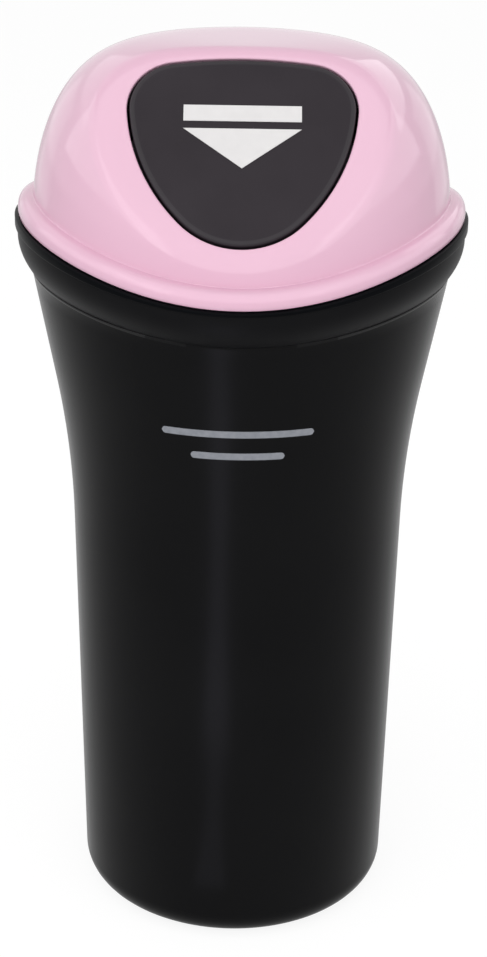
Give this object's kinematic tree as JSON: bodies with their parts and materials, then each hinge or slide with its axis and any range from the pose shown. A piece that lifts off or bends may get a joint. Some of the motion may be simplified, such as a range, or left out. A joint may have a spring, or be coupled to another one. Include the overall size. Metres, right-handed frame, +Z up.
{
  "type": "car trash bin",
  "caption": "Small car trash bin that stands in a cup holder: flared black cup with a wavy mouth, and a lift-off pink domed lid with a sprung push flap in its sloping front.",
  "frame": {"origin": "centre of the foot's underside, on the plane the bin stands on", "axes": "+Z up along the cup's axis, -Y towards the push flap, +X to the right as seen from the front"},
  "size_m": [0.0944, 0.0944, 0.193],
  "materials": {
    "cup": "satin black moulded plastic",
    "lid": "glossy pale pink moulded plastic",
    "flap": "matte dark grey moulded plastic",
    "steel": "bright drawn steel wire and pin",
    "flap_print": "off-white pad print",
    "cup_print": "blue-grey pad print"
  },
  "bodies": {
    "bin": {"bin_body": "cup", "body_mark": "cup_print"},
    "lid": {"lid": "lid", "hinge_pin": "steel", "return_spring": "steel"},
    "flap": {"push_flap": "flap", "flap_mark": "flap_print"}
  },
  "joints": [
    {"name": "lid_lift", "type": "slide", "parent": "bin", "child": "lid", "axis": [0, 0, 1], "range_m": [0, 0.04]},
    {"name": "flap_hinge", "type": "hinge", "parent": "lid", "child": "flap", "pos_m": [0, -0.01675, 0.18247], "axis": [1, 0, 0], "range_deg": [0, 60], "stiffness_Nm_per_rad": 0.008, "springref_deg": -28.65, "deforming": ["return_spring"]}
  ]
}
